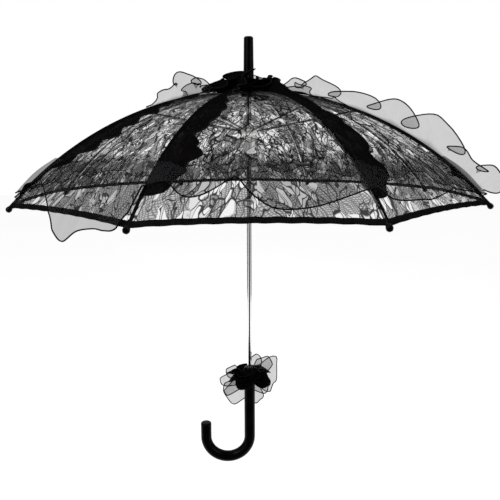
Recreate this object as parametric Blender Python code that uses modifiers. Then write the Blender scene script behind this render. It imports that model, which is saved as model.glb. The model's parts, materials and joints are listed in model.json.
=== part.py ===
"""Lace parasol: a hook-handled shaft with eight folding ribs, a lace canopy, ruffles and a bow.

Metres, +Z up the shaft towards the ferrule. The origin is on the shaft's axis in the middle of
the grip. The ribs stand at 22.5 degrees + 45 degrees * k, so a panel faces -Y, and the hook
opens towards -X. The parasol is modelled open.
"""
import math

import bmesh
import bpy
from mathutils import Matrix, Vector

# --- canopy and frame -------------------------------------------------------------------
RIB_COUNT = 8
SECTOR = 2 * math.pi / RIB_COUNT
FIRST_RIB = -math.pi / 2 + SECTOR / 2  # azimuth of rib 1
DOME_RADIUS = 0.4687  # of every rib's middle line, centred on the shaft's axis
CROWN_Z = 0.540  # where that arc meets the axis
DOME_Z = CROWN_Z - DOME_RADIUS
TIP_RADIUS = 0.355  # from the axis to the end of a rib

RIB_HEIGHT = 0.0030
RIB_WIDTH = 0.0020
RIB_HINGE_RADIUS = 0.009
RIB_PIVOT_RADIUS = 0.166  # where the stretcher holds the rib
RIB_STEPS = 12
EYE_RADIUS = 0.0023
EYE_HOLE = 0.0011
RIVET_RADIUS = 0.0008

CAP_LENGTH = 0.012  # of a rib tip cap, up to the middle of its ball
CAP_SLEEVE = 0.0029
CAP_BORE = 0.0022
CAP_BORE_DEPTH = 0.008
CAP_BALL = 0.0043

STRETCHER_HEIGHT = 0.0026
STRETCHER_WIDTH = 0.0044
FORK_SLOT = 0.0027
FORK_DEPTH = 0.0100
TAB_WIDTH = 0.0018
TAB_LENGTH = 0.0140
EYE_NECK = 0.0080  # how far along the stretcher its rounded fork end runs
RIVET_STAND_OUT = 0.0006  # of a rivet's ends beyond the fork

# --- shaft and what slides on it --------------------------------------------------------
GAP = 0.0003  # between pieces that touch
SLOT_REACH = 0.02  # how far out a slot's cutter goes, past every slotted piece
SLOT_TALL = 0.05
SHAFT_RADIUS = 0.0040
SHAFT_BORE = 0.0033
SHAFT_BOTTOM = 0.055
SHAFT_TOP = 0.600

RUNNER_Z = 0.482  # of the stretchers' hinge circle, open
RUNNER_HINGE_RADIUS = 0.012
RUNNER_FLANGE = 0.0142
RUNNER_FLANGE_HALF = 0.0036  # half of the flange's thickness
RUNNER_TAPER_TOP = 0.0050
RUNNER_TAPER_BOTTOM = 0.0060
RUNNER_SLEEVE = 0.0092
RUNNER_BELOW = 0.034
RUNNER_ABOVE = 0.008
RUNNER_LIP = 0.0008  # of the rounded foot outside the sleeve
RUNNER_LIP_HEIGHT = 0.0030
RUNNER_SLOT = 0.0024
RUNNER_SLOT_FLOOR = RUNNER_SLEEVE + 0.0002
RUNNER_TRAVEL = 0.2467
KEYWAY_WIDTH = 0.0022
KEYWAY_REACH = 0.0070

CATCH_WIDTH = 0.0010
CATCH_REACH = 0.0065
CATCH_INNER = 0.0010
CATCH_LENGTH = 0.026
TOP_CATCH_Z = RUNNER_Z - RUNNER_BELOW - GAP  # top edge, under the open runner
BOTTOM_CATCH_Z = RUNNER_Z - RUNNER_TRAVEL + RUNNER_ABOVE + GAP + CATCH_LENGTH

STOP_PIN_Z = RUNNER_Z + RUNNER_ABOVE + 0.0015
STOP_PIN_RADIUS = 0.0009
STOP_PIN_LENGTH = 0.013

# --- notch, cap and ferrule -------------------------------------------------------------
NOTCH_RADIUS = 0.0120
NOTCH_BOTTOM = CROWN_Z - 0.0060
NOTCH_TOP = CROWN_Z + 0.0042
NOTCH_SLOT = 0.0026
NOTCH_WIRE_RADIUS = 0.0006
NOTCH_WIRE_Z = DOME_Z + math.sqrt(DOME_RADIUS**2 - RIB_HINGE_RADIUS**2)
CROWN_CAP_RADIUS = 0.0165
CROWN_CAP_TOP = 0.5476
FERRULE_BASE = CROWN_CAP_TOP + GAP
FERRULE_TOP = 0.6226
FERRULE_BASE_RADIUS = 0.0092
FERRULE_TOP_RADIUS = 0.0072
FERRULE_CHAMFER = 0.0016
FERRULE_SHOULDER = 0.0030
FERRULE_NECK = 0.0120  # height of the end of the base's taper

# --- handle -----------------------------------------------------------------------------
HANDLE_RADIUS = 0.0090
HANDLE_TOP = 0.093
HOOK_RADIUS = 0.0375  # of the hook's middle line
HOOK_CENTRE_Z = -0.033
HOOK_TIP_Z = -0.007
HOOK_STEPS = 14
HANDLE_EDGE = 0.0012

# --- cloth ------------------------------------------------------------------------------
CLOTH = 0.0003
CANOPY_LIFT = 0.0032  # of the canopy over the ribs' middle line
CANOPY_INNER = 0.0145
HEM_RADIUS = 0.3515
HEM_RISE = 0.0045  # how far the hem curves up between two tips, along the cloth
GORE_COLUMNS = 4
GORE_ROWS = 8
RUFFLE_INNER = 0.064
RUFFLE_OUTER = 0.330
RUFFLE_LIFT = 0.006
RUFFLE_WAVE = 0.005
RUFFLE_ROWS = 8
CROWN_RUFFLE_RADIUS = 0.055
CROWN_RUFFLE_STEPS = 32

BOW_Z = 0.080
BOW_BAND = 0.0125
BOW_BAND_HALF = 0.0080  # half of the band's height, over its softened edges
BOW_BAND_FACE = 0.0040
BOW_BAND_CHAMFER = 0.0010
BOW_BACK = 0.0300
BOW_PUFF = 0.0250  # outer radius of the gathered knot round the neck
BOW_PUFF_HEIGHT = 0.0120
BOW_THICK = 0.0030
BOW_ROOT = 0.004  # radius of the gathered root that a side's lobes share


# --- scene, materials and small tools -------------------------------------------------
def clear_scene():
    for old in list(bpy.data.objects):
        bpy.data.objects.remove(old, do_unlink=True)


def make_collection(name):
    collection = bpy.data.collections.new(name)
    bpy.context.scene.collection.children.link(collection)
    return collection


def make_material(name, colour, roughness, metallic=0.0, alpha=1.0):
    material = bpy.data.materials.new(name)
    material.use_nodes = True
    shader = material.node_tree.nodes["Principled BSDF"]
    shader.inputs["Base Color"].default_value = (*colour, 1.0)
    shader.inputs["Roughness"].default_value = roughness
    shader.inputs["Metallic"].default_value = metallic
    shader.inputs["Alpha"].default_value = alpha
    return material


def add_object(name, data, material, place=None):
    thing = bpy.data.objects.new(name, data)
    PARTS.objects.link(thing)
    if material is not None:
        data.materials.clear()
        data.materials.append(material)
    thing.matrix_world = place or Matrix.Identity(4)
    return thing


def mesh_from(bm, name):
    mesh = bpy.data.meshes.new(name)
    bmesh.ops.recalc_face_normals(bm, faces=bm.faces)
    bm.to_mesh(mesh)
    bm.free()
    return mesh


def soften(mesh, angle=35):
    mesh.shade_smooth()
    mesh.set_sharp_from_angle(angle=math.radians(angle))


def evaluated_mesh(thing, name):
    """The thing's shape with its modifiers applied, as a welded mesh. The thing is removed."""
    view = bpy.context.evaluated_depsgraph_get()
    mesh = bpy.data.meshes.new_from_object(thing.evaluated_get(view))
    mesh.name = name
    bm = bmesh.new()
    bm.from_mesh(mesh)
    bmesh.ops.remove_doubles(bm, verts=bm.verts, dist=0.00001)
    bmesh.ops.recalc_face_normals(bm, faces=bm.faces)
    bm.to_mesh(mesh)
    bm.free()
    bpy.data.objects.remove(thing, do_unlink=True)
    return mesh


def turned_mesh(name, profile, steps, closed=False):
    """A turned shape about Z. The profile is (radius, height), down its outer side."""
    mesh = bpy.data.meshes.new(name + "_profile")
    last = len(profile) if closed else len(profile) - 1
    edges = [(i, (i + 1) % len(profile)) for i in range(last)]
    mesh.from_pydata([(r, 0, z) for r, z in profile], edges, [])
    thing = bpy.data.objects.new(name + "_profile", mesh)
    PARTS.objects.link(thing)
    screw = thing.modifiers.new("turn", "SCREW")
    screw.steps = screw.render_steps = steps
    screw.use_merge_vertices = True
    screw.merge_threshold = 0.00001
    bpy.context.view_layer.update()
    return evaluated_mesh(thing, name)


def flat_mesh(name, outlines, thickness):
    """Flat stock with its outline and holes in X and Z, and its thickness along Y."""
    curve = bpy.data.curves.new(name, "CURVE")
    curve.dimensions = "2D"
    curve.fill_mode = "BOTH"
    curve.extrude = thickness / 2
    for outline in outlines:
        spline = curve.splines.new("POLY")
        spline.points.add(len(outline) - 1)
        spline.use_cyclic_u = True
        for point, (x, z) in zip(spline.points, outline):
            point.co = (x, z, 0, 1)
    thing = bpy.data.objects.new(name, curve)
    PARTS.objects.link(thing)
    bpy.context.view_layer.update()
    mesh = evaluated_mesh(thing, name)
    mesh.transform(Matrix.Rotation(math.pi / 2, 4, "X"))
    return mesh


def cutter_box(low, high, turn=0.0):
    """A cutting block between two corners, turned about Z."""
    bm = bmesh.new()
    bmesh.ops.create_cube(bm, size=1.0)
    middle = (Vector(low) + Vector(high)) / 2
    size = Vector(high) - Vector(low)
    bm.transform(Matrix.Translation(middle) @ Matrix.Diagonal((*size, 1.0)))
    bm.transform(Matrix.Rotation(turn, 4, "Z"))
    return add_cutter(bm)


def cutter_rod(centre, axis, radius, length, sides=12):
    bm = bmesh.new()
    bmesh.ops.create_cone(
        bm, cap_ends=True, segments=sides, radius1=radius, radius2=radius, depth=length
    )
    turn = Vector((0, 0, 1)).rotation_difference(Vector(axis)).to_matrix().to_4x4()
    bm.transform(Matrix.Translation(centre) @ turn)
    return add_cutter(bm)


def add_cutter(bm):
    thing = bpy.data.objects.new("cutter", mesh_from(bm, "cutter"))
    CUTTERS.objects.link(thing)
    thing.hide_render = True
    thing.display_type = "WIRE"
    return thing


def combine(mesh, tools, operation="DIFFERENCE"):
    """The mesh after cutting away each tool, or joining it on."""
    thing = bpy.data.objects.new(mesh.name + "_work", mesh)
    PARTS.objects.link(thing)
    for tool in tools:
        modifier = thing.modifiers.new("combine", "BOOLEAN")
        modifier.operation = operation
        modifier.solver = "EXACT"
        modifier.object = tool
    bpy.context.view_layer.update()
    result = evaluated_mesh(thing, mesh.name)
    for tool in tools:
        bpy.data.objects.remove(tool, do_unlink=True)
    return result


def circle(x, z, radius, sides, start=0.0):
    turns = [start + 2 * math.pi * i / sides for i in range(sides)]
    return [(x + radius * math.cos(t), z + radius * math.sin(t)) for t in turns]


def azimuth(number):
    """Direction of rib number 1 to 8, from +X."""
    return FIRST_RIB + (number - 1) * SECTOR


def radial_place(number, radius, height):
    """The frame of a piece in a rib's plane: X outwards, Z up, with its origin at a hinge."""
    turn = Matrix.Rotation(azimuth(number), 4, "Z")
    return turn @ Matrix.Translation((radius, 0, height))


# --- the ribs' geometry -----------------------------------------------------------------
def dome_height(radius, lift=0.0):
    """Height of the dome, raised by lift, over a point at this distance from the axis."""
    return DOME_Z + math.sqrt((DOME_RADIUS + lift) ** 2 - radius**2)


def dome_point(angle, lift=0.0):
    """A point of the rib's arc, at an angle from the axis: distance out, and height."""
    reach = DOME_RADIUS + lift
    return reach * math.sin(angle), DOME_Z + reach * math.cos(angle)


def dome_angle(radius):
    return math.asin(radius / DOME_RADIUS)


RIB_HINGE = (RIB_HINGE_RADIUS, NOTCH_WIRE_Z)
RIB_PIVOT = (RIB_PIVOT_RADIUS, dome_height(RIB_PIVOT_RADIUS))
STRETCHER_REACH = (RIB_PIVOT[0] - RUNNER_HINGE_RADIUS, RIB_PIVOT[1] - RUNNER_Z)
STRETCHER_LENGTH = math.hypot(*STRETCHER_REACH)
STRETCHER_SLOPE = math.atan2(STRETCHER_REACH[1], STRETCHER_REACH[0])


def rib_mesh():
    """A rib as flat stock along the dome's arc, with an eye at its hinge and at its pivot."""
    end = dome_angle(TIP_RADIUS) - (CAP_LENGTH - CAP_BORE_DEPTH / 2) / DOME_RADIUS
    start = dome_angle(RIB_HINGE_RADIUS)
    pivot = dome_angle(RIB_PIVOT_RADIUS)
    half = RIB_HEIGHT / 2
    eye = EYE_RADIUS / DOME_RADIUS
    outline = []
    for i in range(RIB_STEPS + 1):
        outline.append(dome_point(start + eye + (end - start - eye) * i / RIB_STEPS, half))
    for i in range(RIB_STEPS, -1, -1):
        angle = start + eye + (end - start - eye) * i / RIB_STEPS
        outline.append(dome_point(angle, -half))
    hinge = dome_point(start)
    bend = [math.radians(a) for a in (-60, -100, -140, 180, 140, 100, 60)]
    for turn in bend:
        outline.append(
            (hinge[0] + EYE_RADIUS * math.cos(turn), hinge[1] + EYE_RADIUS * math.sin(turn))
        )
    local = [(r - hinge[0], z - hinge[1]) for r, z in outline]
    bar = flat_mesh("rib", [local, circle(0, 0, EYE_HOLE, 8)], RIB_WIDTH)
    boss_at = dome_point(pivot)
    boss_at = (boss_at[0] - hinge[0], 0, boss_at[1] - hinge[1])
    boss = cutter_rod(boss_at, (0, 1, 0), EYE_RADIUS, RIB_WIDTH)
    bar = combine(bar, [boss], "UNION")
    hole = cutter_rod(boss_at, (0, 1, 0), EYE_HOLE, 2 * RIB_WIDTH, 8)
    return combine(bar, [hole])


def rib_tip_mesh():
    """A tip cap: a sleeve over the rib's end and a ball, turned about Z, with its bore below."""
    ball = [math.radians(a) for a in (90, 50, 10, -25)]
    profile = [(CAP_BALL * math.cos(a), CAP_LENGTH + CAP_BALL * math.sin(a)) for a in ball]
    profile[0] = (0, CAP_LENGTH + CAP_BALL)
    profile += [(CAP_SLEEVE, CAP_LENGTH - CAP_BALL), (CAP_SLEEVE * 0.92, 0)]
    profile += [(CAP_BORE, 0), (CAP_BORE, CAP_BORE_DEPTH), (0, CAP_BORE_DEPTH)]
    mesh = turned_mesh("rib_tip", profile, 10)
    soften(mesh, 50)
    return mesh


def stretcher_mesh():
    """A stretcher along -X from its pivot: a fork with its rivet there, a thin tab at its end."""
    half = STRETCHER_HEIGHT / 2
    reach = STRETCHER_LENGTH
    inner = math.radians(40)
    outline = []
    for i in range(7):
        turn = math.radians(130 - 260 * i / 6)
        outline.append((EYE_RADIUS * math.cos(turn), EYE_RADIUS * math.sin(turn)))
    outline.append((-EYE_NECK, -half))
    eye = EYE_RADIUS * 0.8
    outline.append((-reach + eye * math.cos(inner), -half))
    for i in range(6):
        turn = math.radians(-60 - 240 * i / 5)
        outline.append((-reach + eye * math.cos(turn), eye * math.sin(turn)))
    outline.append((-reach + eye * math.cos(inner), half))
    outline.append((-EYE_NECK, half))
    hole = circle(-reach, 0, RIVET_RADIUS, 8)
    bar = flat_mesh("stretcher", [outline, hole], STRETCHER_WIDTH)
    tall = 4 * STRETCHER_HEIGHT
    cuts = [cutter_box((-FORK_DEPTH, -FORK_SLOT / 2, -tall), (tall, FORK_SLOT / 2, tall))]
    for side in (-1, 1):
        sides = sorted((side * TAB_WIDTH / 2, side * STRETCHER_WIDTH))
        cuts.append(
            cutter_box((-reach - tall, sides[0], -tall), (TAB_LENGTH - reach, sides[1], tall))
        )
    bar = combine(bar, cuts)
    rivet = cutter_rod((0, 0, 0), (0, 1, 0), RIVET_RADIUS, STRETCHER_WIDTH + 2 * RIVET_STAND_OUT)
    return combine(bar, [rivet], "UNION")


# --- pieces on the shaft ----------------------------------------------------------------
def build_shaft():
    profile = [
        (SHAFT_RADIUS, SHAFT_TOP),
        (SHAFT_RADIUS, SHAFT_BOTTOM),
        (SHAFT_BORE, SHAFT_BOTTOM),
        (SHAFT_BORE, SHAFT_TOP),
    ]
    mesh = turned_mesh("shaft", profile, 24, closed=True)
    cuts = [cutter_rod((0, 0, STOP_PIN_Z), (1, 0, 0), STOP_PIN_RADIUS + GAP, SLOT_REACH)]
    half = CATCH_WIDTH / 2 + GAP
    for top in (TOP_CATCH_Z, BOTTOM_CATCH_Z):
        low = (-half, 0.0, top - CATCH_LENGTH - 2 * GAP)
        cuts.append(cutter_box(low, (half, SLOT_REACH, top + 2 * GAP)))
    mesh = combine(mesh, cuts)
    soften(mesh)
    add_object("shaft", mesh, CHROME)


def build_catches():
    """Two spring catches that stand out of the shaft's back and are pressed into it."""
    for name, top, up in (("top_catch", TOP_CATCH_Z, 1), ("bottom_catch", BOTTOM_CATCH_Z, -1)):
        nose = CATCH_LENGTH * 0.12
        outline = [
            (CATCH_INNER, -CATCH_LENGTH / 2),
            (SHAFT_RADIUS, -CATCH_LENGTH / 2),
            (CATCH_REACH, CATCH_LENGTH / 2 - nose),
            (CATCH_REACH, CATCH_LENGTH / 2),
            (CATCH_INNER, CATCH_LENGTH / 2),
        ]
        outline = [(x, up * z) for x, z in outline][::up]
        mesh = flat_mesh(name, [outline], CATCH_WIDTH)
        place = Matrix.Translation((0, 0, top - CATCH_LENGTH / 2))
        add_object(name, mesh, STEEL, place @ Matrix.Rotation(math.pi / 2, 4, "Z"))


def build_stop_pin():
    bm = bmesh.new()
    bmesh.ops.create_cone(
        bm,
        cap_ends=True,
        segments=10,
        radius1=STOP_PIN_RADIUS,
        radius2=STOP_PIN_RADIUS,
        depth=STOP_PIN_LENGTH,
    )
    bm.transform(Matrix.Rotation(math.pi / 2, 4, "Y"))
    place = Matrix.Translation((0, 0, STOP_PIN_Z))
    add_object("stop_pin", mesh_from(bm, "stop_pin"), STEEL, place)


def build_runner():
    bore = SHAFT_RADIUS + GAP
    profile = [
        (bore, RUNNER_ABOVE),
        (RUNNER_SLEEVE, RUNNER_ABOVE),
        (RUNNER_SLEEVE, RUNNER_TAPER_TOP),
        (RUNNER_FLANGE, RUNNER_FLANGE_HALF),
        (RUNNER_FLANGE, -RUNNER_FLANGE_HALF),
        (RUNNER_SLEEVE, -RUNNER_TAPER_BOTTOM),
        (RUNNER_SLEEVE, -RUNNER_BELOW + RUNNER_LIP_HEIGHT + RUNNER_LIP),
        (RUNNER_SLEEVE + RUNNER_LIP, -RUNNER_BELOW + RUNNER_LIP_HEIGHT),
        (RUNNER_SLEEVE + RUNNER_LIP, -RUNNER_BELOW),
        (bore, -RUNNER_BELOW),
    ]
    mesh = turned_mesh("runner", profile, 24, closed=True)
    cuts = []
    for number in range(1, RIB_COUNT + 1):
        low = (RUNNER_SLOT_FLOOR, -RUNNER_SLOT / 2, -SLOT_TALL)
        high = (SLOT_REACH, RUNNER_SLOT / 2, SLOT_TALL)
        cuts.append(cutter_box(low, high, azimuth(number)))
    half = KEYWAY_WIDTH / 2
    cuts.append(cutter_box((-half, 0.0, -SLOT_TALL), (half, KEYWAY_REACH, SLOT_TALL)))
    mesh = combine(mesh, cuts)
    soften(mesh)
    add_object("runner", mesh, WHITE_PLASTIC, Matrix.Translation((0, 0, RUNNER_Z)))


def build_notch():
    """The crown notch: a grooved hub with a slot for each rib, and the wire that they hang on."""
    bore = SHAFT_RADIUS + GAP
    groove = NOTCH_WIRE_RADIUS + GAP
    profile = [
        (RIB_HINGE_RADIUS + groove, NOTCH_TOP),
        (NOTCH_RADIUS, NOTCH_TOP),
        (NOTCH_RADIUS, NOTCH_BOTTOM + 0.001),
        (NOTCH_RADIUS - 0.001, NOTCH_BOTTOM),
        (bore, NOTCH_BOTTOM),
        (bore, NOTCH_TOP),
        (RIB_HINGE_RADIUS - groove, NOTCH_TOP),
        (RIB_HINGE_RADIUS - groove, NOTCH_WIRE_Z - groove),
        (RIB_HINGE_RADIUS + groove, NOTCH_WIRE_Z - groove),
    ]
    mesh = turned_mesh("top_notch", profile, 24, closed=True)
    cuts = []
    for number in range(1, RIB_COUNT + 1):
        low = (RIB_HINGE_RADIUS - EYE_RADIUS - GAP, -NOTCH_SLOT / 2, NOTCH_BOTTOM - SLOT_TALL)
        high = (SLOT_REACH, NOTCH_SLOT / 2, NOTCH_TOP + SLOT_TALL)
        cuts.append(cutter_box(low, high, azimuth(number)))
    mesh = combine(mesh, cuts)
    soften(mesh)
    add_object("top_notch", mesh, BLACK_PLASTIC)

    ring = circle(RIB_HINGE_RADIUS, 0, NOTCH_WIRE_RADIUS, 6, math.radians(30))
    wire = turned_mesh("notch_wire", ring[::-1], 32, closed=True)
    add_object("notch_wire", wire, STEEL, Matrix.Translation((0, 0, NOTCH_WIRE_Z)))


def build_ferrule_and_cap():
    bore = SHAFT_RADIUS + GAP
    seat = NOTCH_TOP + GAP
    cap = [
        (bore, CROWN_CAP_TOP),
        (FERRULE_BASE_RADIUS + 0.002, CROWN_CAP_TOP),
        (CROWN_CAP_RADIUS, CROWN_CAP_TOP - 0.0015),
        (CROWN_CAP_RADIUS, seat),
        (bore, seat),
    ]
    mesh = turned_mesh("crown_cap", cap, 24, closed=True)
    soften(mesh)
    add_object("crown_cap", mesh, BLACK_PLASTIC)

    ferrule = [
        (0, FERRULE_TOP),
        (FERRULE_TOP_RADIUS - FERRULE_CHAMFER, FERRULE_TOP),
        (FERRULE_TOP_RADIUS, FERRULE_TOP - FERRULE_CHAMFER),
        (FERRULE_BASE_RADIUS - 0.0012, FERRULE_BASE + FERRULE_NECK),
        (FERRULE_BASE_RADIUS, FERRULE_BASE + FERRULE_SHOULDER),
        (FERRULE_BASE_RADIUS, FERRULE_BASE),
        (bore, FERRULE_BASE),
        (bore, SHAFT_TOP + GAP),
        (0, SHAFT_TOP + GAP),
    ]
    mesh = turned_mesh("ferrule", ferrule, 24)
    soften(mesh)
    add_object("ferrule", mesh, BLACK_PLASTIC)


def build_handle():
    """The J handle: a round bar down the axis and round the hook, bored for the shaft."""
    route = [(0, 0, HANDLE_TOP), (0, 0, (HANDLE_TOP + HOOK_CENTRE_Z) / 2)]
    for i in range(HOOK_STEPS + 1):
        turn = math.pi * i / HOOK_STEPS
        x = -HOOK_RADIUS + HOOK_RADIUS * math.cos(turn)
        route.append((x, 0, HOOK_CENTRE_Z - HOOK_RADIUS * math.sin(turn)))
    route.append((-2 * HOOK_RADIUS, 0, HOOK_TIP_Z))
    curve = bpy.data.curves.new("handle", "CURVE")
    curve.dimensions = "3D"
    curve.bevel_depth = HANDLE_RADIUS
    curve.bevel_resolution = 3
    curve.use_fill_caps = True
    spline = curve.splines.new("POLY")
    spline.points.add(len(route) - 1)
    for point, place in zip(spline.points, route):
        point.co = (*place, 1)
    thing = bpy.data.objects.new("handle", curve)
    PARTS.objects.link(thing)
    bpy.context.view_layer.update()
    mesh = evaluated_mesh(thing, "handle")
    depth = HANDLE_TOP - SHAFT_BOTTOM + GAP
    middle = (0, 0, HANDLE_TOP - depth / 2 + 0.005)
    bore = cutter_rod(middle, (0, 0, 1), SHAFT_RADIUS + GAP, depth + 0.010, 24)
    mesh = combine(mesh, [bore])
    soften(mesh)
    handle = add_object("handle", mesh, BLACK_PLASTIC)
    edge = handle.modifiers.new("edge", "BEVEL")
    edge.width = HANDLE_EDGE
    edge.segments = 2
    edge.limit_method = "ANGLE"
    edge.angle_limit = math.radians(50)


# --- cloth ------------------------------------------------------------------------------
def panel_point(radius, across, lift, gap=GAP):
    """A point of a sector of cloth in its rib's frame, X outwards and Y across.

    Between two ribs the cloth is flat at each height, so it falls straight from the rib at
    across = 0 to the middle of the panel at across = -1 or 1.
    """
    half = SECTOR / 2
    reach = radius * (1 - abs(across) * math.sin(half) ** 2)
    width = radius * math.cos(half) * math.sin(half) - gap
    return Vector((reach, across * width, dome_height(radius, lift)))


def cloth_mesh(name, columns, rows, shape, thickness=CLOTH):
    """A grid of cloth that shape(across, down) places, across -1 to 1 and down 0 to 1."""
    bm = bmesh.new()
    bmesh.ops.create_grid(bm, x_segments=columns, y_segments=rows, size=1.0)
    for vertex in bm.verts:
        vertex.co = shape(vertex.co.x, (vertex.co.y + 1) / 2)
    mesh = mesh_from(bm, name)
    if mesh.polygons[0].normal.z < 0:
        mesh.flip_normals()
    thing = bpy.data.objects.new(name, mesh)
    PARTS.objects.link(thing)
    shell = thing.modifiers.new("cloth", "SOLIDIFY")
    shell.thickness = thickness
    shell.offset = 1.0
    bpy.context.view_layer.update()
    result = evaluated_mesh(thing, name)
    soften(result, 60)
    return result


def gore_shape(across, down):
    full = dome_angle(HEM_RADIUS)
    start = dome_angle(CANOPY_INNER)
    inward = abs(across) * (2 - abs(across))
    end = full - HEM_RISE * inward / DOME_RADIUS
    radius = DOME_RADIUS * math.sin(start + (end - start) * down)
    return panel_point(radius, across, CANOPY_LIFT)


def ruffle_shape(across, down):
    radius = RUFFLE_INNER + (RUFFLE_OUTER - RUFFLE_INNER) * down
    ripple = RUFFLE_WAVE * (1 - math.cos(2 * math.pi * across)) / 2
    lift = CANOPY_LIFT + RUFFLE_LIFT + ripple * down
    return panel_point(radius, across, lift, 3 * GAP)


def build_crown_ruffle():
    """The rosette round the ferrule: a frilled ring of cloth that stands up from the crown."""
    bm = bmesh.new()
    rings = (
        (CROWN_CAP_RADIUS + 0.002, 0.0045, 0.0),
        (CROWN_RUFFLE_RADIUS * 0.62, 0.0110, 0.003),
        (CROWN_RUFFLE_RADIUS, 0.0120, 0.006),
    )
    loops = []
    for radius, lift, wave in rings:
        loop = []
        for i in range(CROWN_RUFFLE_STEPS):
            turn = 2 * math.pi * i / CROWN_RUFFLE_STEPS
            height = dome_height(radius) + lift + wave * (1 if i % 2 else -1)
            loop.append(bm.verts.new((radius * math.cos(turn), radius * math.sin(turn), height)))
        loops.append(loop)
    for inner, outer in zip(loops, loops[1:]):
        for i in range(CROWN_RUFFLE_STEPS):
            after = (i + 1) % CROWN_RUFFLE_STEPS
            bm.faces.new((inner[i], outer[i], outer[after], inner[after]))
    mesh = mesh_from(bm, "crown_ruffle")
    if mesh.polygons[0].normal.z < 0:
        mesh.flip_normals()
    ruffle = add_object("crown_ruffle", mesh, ORGANZA)
    shell = ruffle.modifiers.new("cloth", "SOLIDIFY")
    shell.thickness = CLOTH
    shell.offset = 1.0


def petal(root_x, root_z, tip_x, tip_z, width, steps=10):
    """The outline of a bow lobe from its root at the knot to its rounded outer end."""
    start, end = Vector((root_x, root_z)), Vector((tip_x, tip_z))
    along = end - start
    side = Vector((-along.y, along.x)).normalized() * width / 2
    points = []
    for i in range(steps):
        turn = math.pi * 2 * i / steps
        reach = (1 - math.cos(turn)) / 2
        swell = math.sin(turn) * (0.35 + 0.65 * reach)
        points.append(tuple(start + along * reach - side * swell))
    return points


def build_bow():
    """The bow on the handle's neck: a tied band with its knot, and lobes on both sides."""
    inner = HANDLE_RADIUS + GAP
    band = [
        (inner, BOW_BAND_HALF),
        (BOW_BAND - BOW_BAND_CHAMFER, BOW_BAND_HALF),
        (BOW_BAND, BOW_BAND_FACE),
        (BOW_BAND, -BOW_BAND_FACE),
        (BOW_BAND - BOW_BAND_CHAMFER, -BOW_BAND_HALF),
        (inner, -BOW_BAND_HALF),
    ]
    mesh = turned_mesh("bow_band", band, 20, closed=True)
    soften(mesh)
    add_object("bow_band", mesh, ORGANZA, Matrix.Translation((0, 0, BOW_Z)))

    inner = BOW_BAND + GAP
    middle = (inner + BOW_PUFF) / 2
    round_it = circle(middle, 0, 1.0, 8)
    puff = [(middle + (r - middle) * (BOW_PUFF - middle), z * BOW_PUFF_HEIGHT) for r, z in round_it]
    mesh = turned_mesh("bow_knot", puff[::-1], 20, closed=True)
    soften(mesh, 60)
    add_object("bow_knot", mesh, ORGANZA, Matrix.Translation((0, 0, BOW_Z)))

    lobes = {
        "bow_left": ((-0.043, -0.004, 0.028), (-0.030, -0.050, 0.024)),
        "bow_right": ((0.050, 0.034, 0.032), (0.030, -0.058, 0.024)),
    }
    for name, tips in lobes.items():
        side = -1 if name == "bow_left" else 1
        root = side * (BOW_ROOT + GAP)
        hub = cutter_rod((root, 0, 0), (0, 1, 0), BOW_ROOT, BOW_THICK)
        tools = [hub]
        for x, z, width in tips[1:]:
            tool = flat_mesh(name, [petal(root, 0, x, z, width)], BOW_THICK * 0.9)
            tools.append(bpy.data.objects.new("cutter", tool))
            CUTTERS.objects.link(tools[-1])
        x, z, width = tips[0]
        mesh = flat_mesh(name, [petal(root, 0, x, z, width)], BOW_THICK * 1.1)
        mesh = combine(mesh, tools, "UNION")
        add_object(name, mesh, ORGANZA, Matrix.Translation((0, BOW_BACK, BOW_Z)))


# --- assembly ---------------------------------------------------------------------------
def build_ribs_and_cloth():
    rib, tip, stretcher = rib_mesh(), rib_tip_mesh(), stretcher_mesh()
    gore = cloth_mesh("gore", GORE_COLUMNS, GORE_ROWS, gore_shape)
    ruffle = cloth_mesh("ruffle", GORE_COLUMNS, RUFFLE_ROWS, ruffle_shape)
    cap_angle = dome_angle(TIP_RADIUS) - CAP_LENGTH / DOME_RADIUS
    cap_at = dome_point(cap_angle)
    for number in range(1, RIB_COUNT + 1):
        add_object(f"rib_{number}", rib, STEEL, radial_place(number, *RIB_HINGE))
        slope = Matrix.Rotation(math.pi / 2 + cap_angle, 4, "Y")
        add_object(
            f"rib_tip_{number}", tip, BLACK_PLASTIC, radial_place(number, *cap_at) @ slope
        )
        tilt = Matrix.Rotation(-STRETCHER_SLOPE, 4, "Y")
        place = radial_place(number, *RIB_PIVOT) @ tilt
        add_object(f"stretcher_{number}", stretcher, STEEL, place)
        add_object(f"canopy_gore_{number}", gore, LACE, radial_place(number, 0, 0))
        add_object(f"ruffle_{number}", ruffle, ORGANZA, radial_place(number, 0, 0))


clear_scene()
PARTS = make_collection("lace_parasol")
CUTTERS = make_collection("cutters")
CHROME = make_material("chrome", (0.72, 0.72, 0.74), 0.14, 1.0)
STEEL = make_material("steel", (0.45, 0.45, 0.47), 0.35, 1.0)
BLACK_PLASTIC = make_material("black_plastic", (0.008, 0.008, 0.009), 0.18)
WHITE_PLASTIC = make_material("white_plastic", (0.85, 0.85, 0.84), 0.35)
LACE = make_material("lace", (0.02, 0.02, 0.022), 0.75, 0.0, 0.6)
ORGANZA = make_material("organza", (0.03, 0.03, 0.033), 0.55, 0.0, 0.5)

build_shaft()
build_catches()
build_stop_pin()
build_runner()
build_notch()
build_ferrule_and_cap()
build_handle()
build_ribs_and_cloth()
build_crown_ruffle()
build_bow()
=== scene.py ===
"""Looks of the lace parasol: lace gores, organza ruffles, a bow, and the finish of every piece.

Metres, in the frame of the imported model: +Z up the shaft, the hook towards -X.
"""
import json
import math
import bmesh
import bpy
from mathutils import Matrix, Vector, noise


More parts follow.
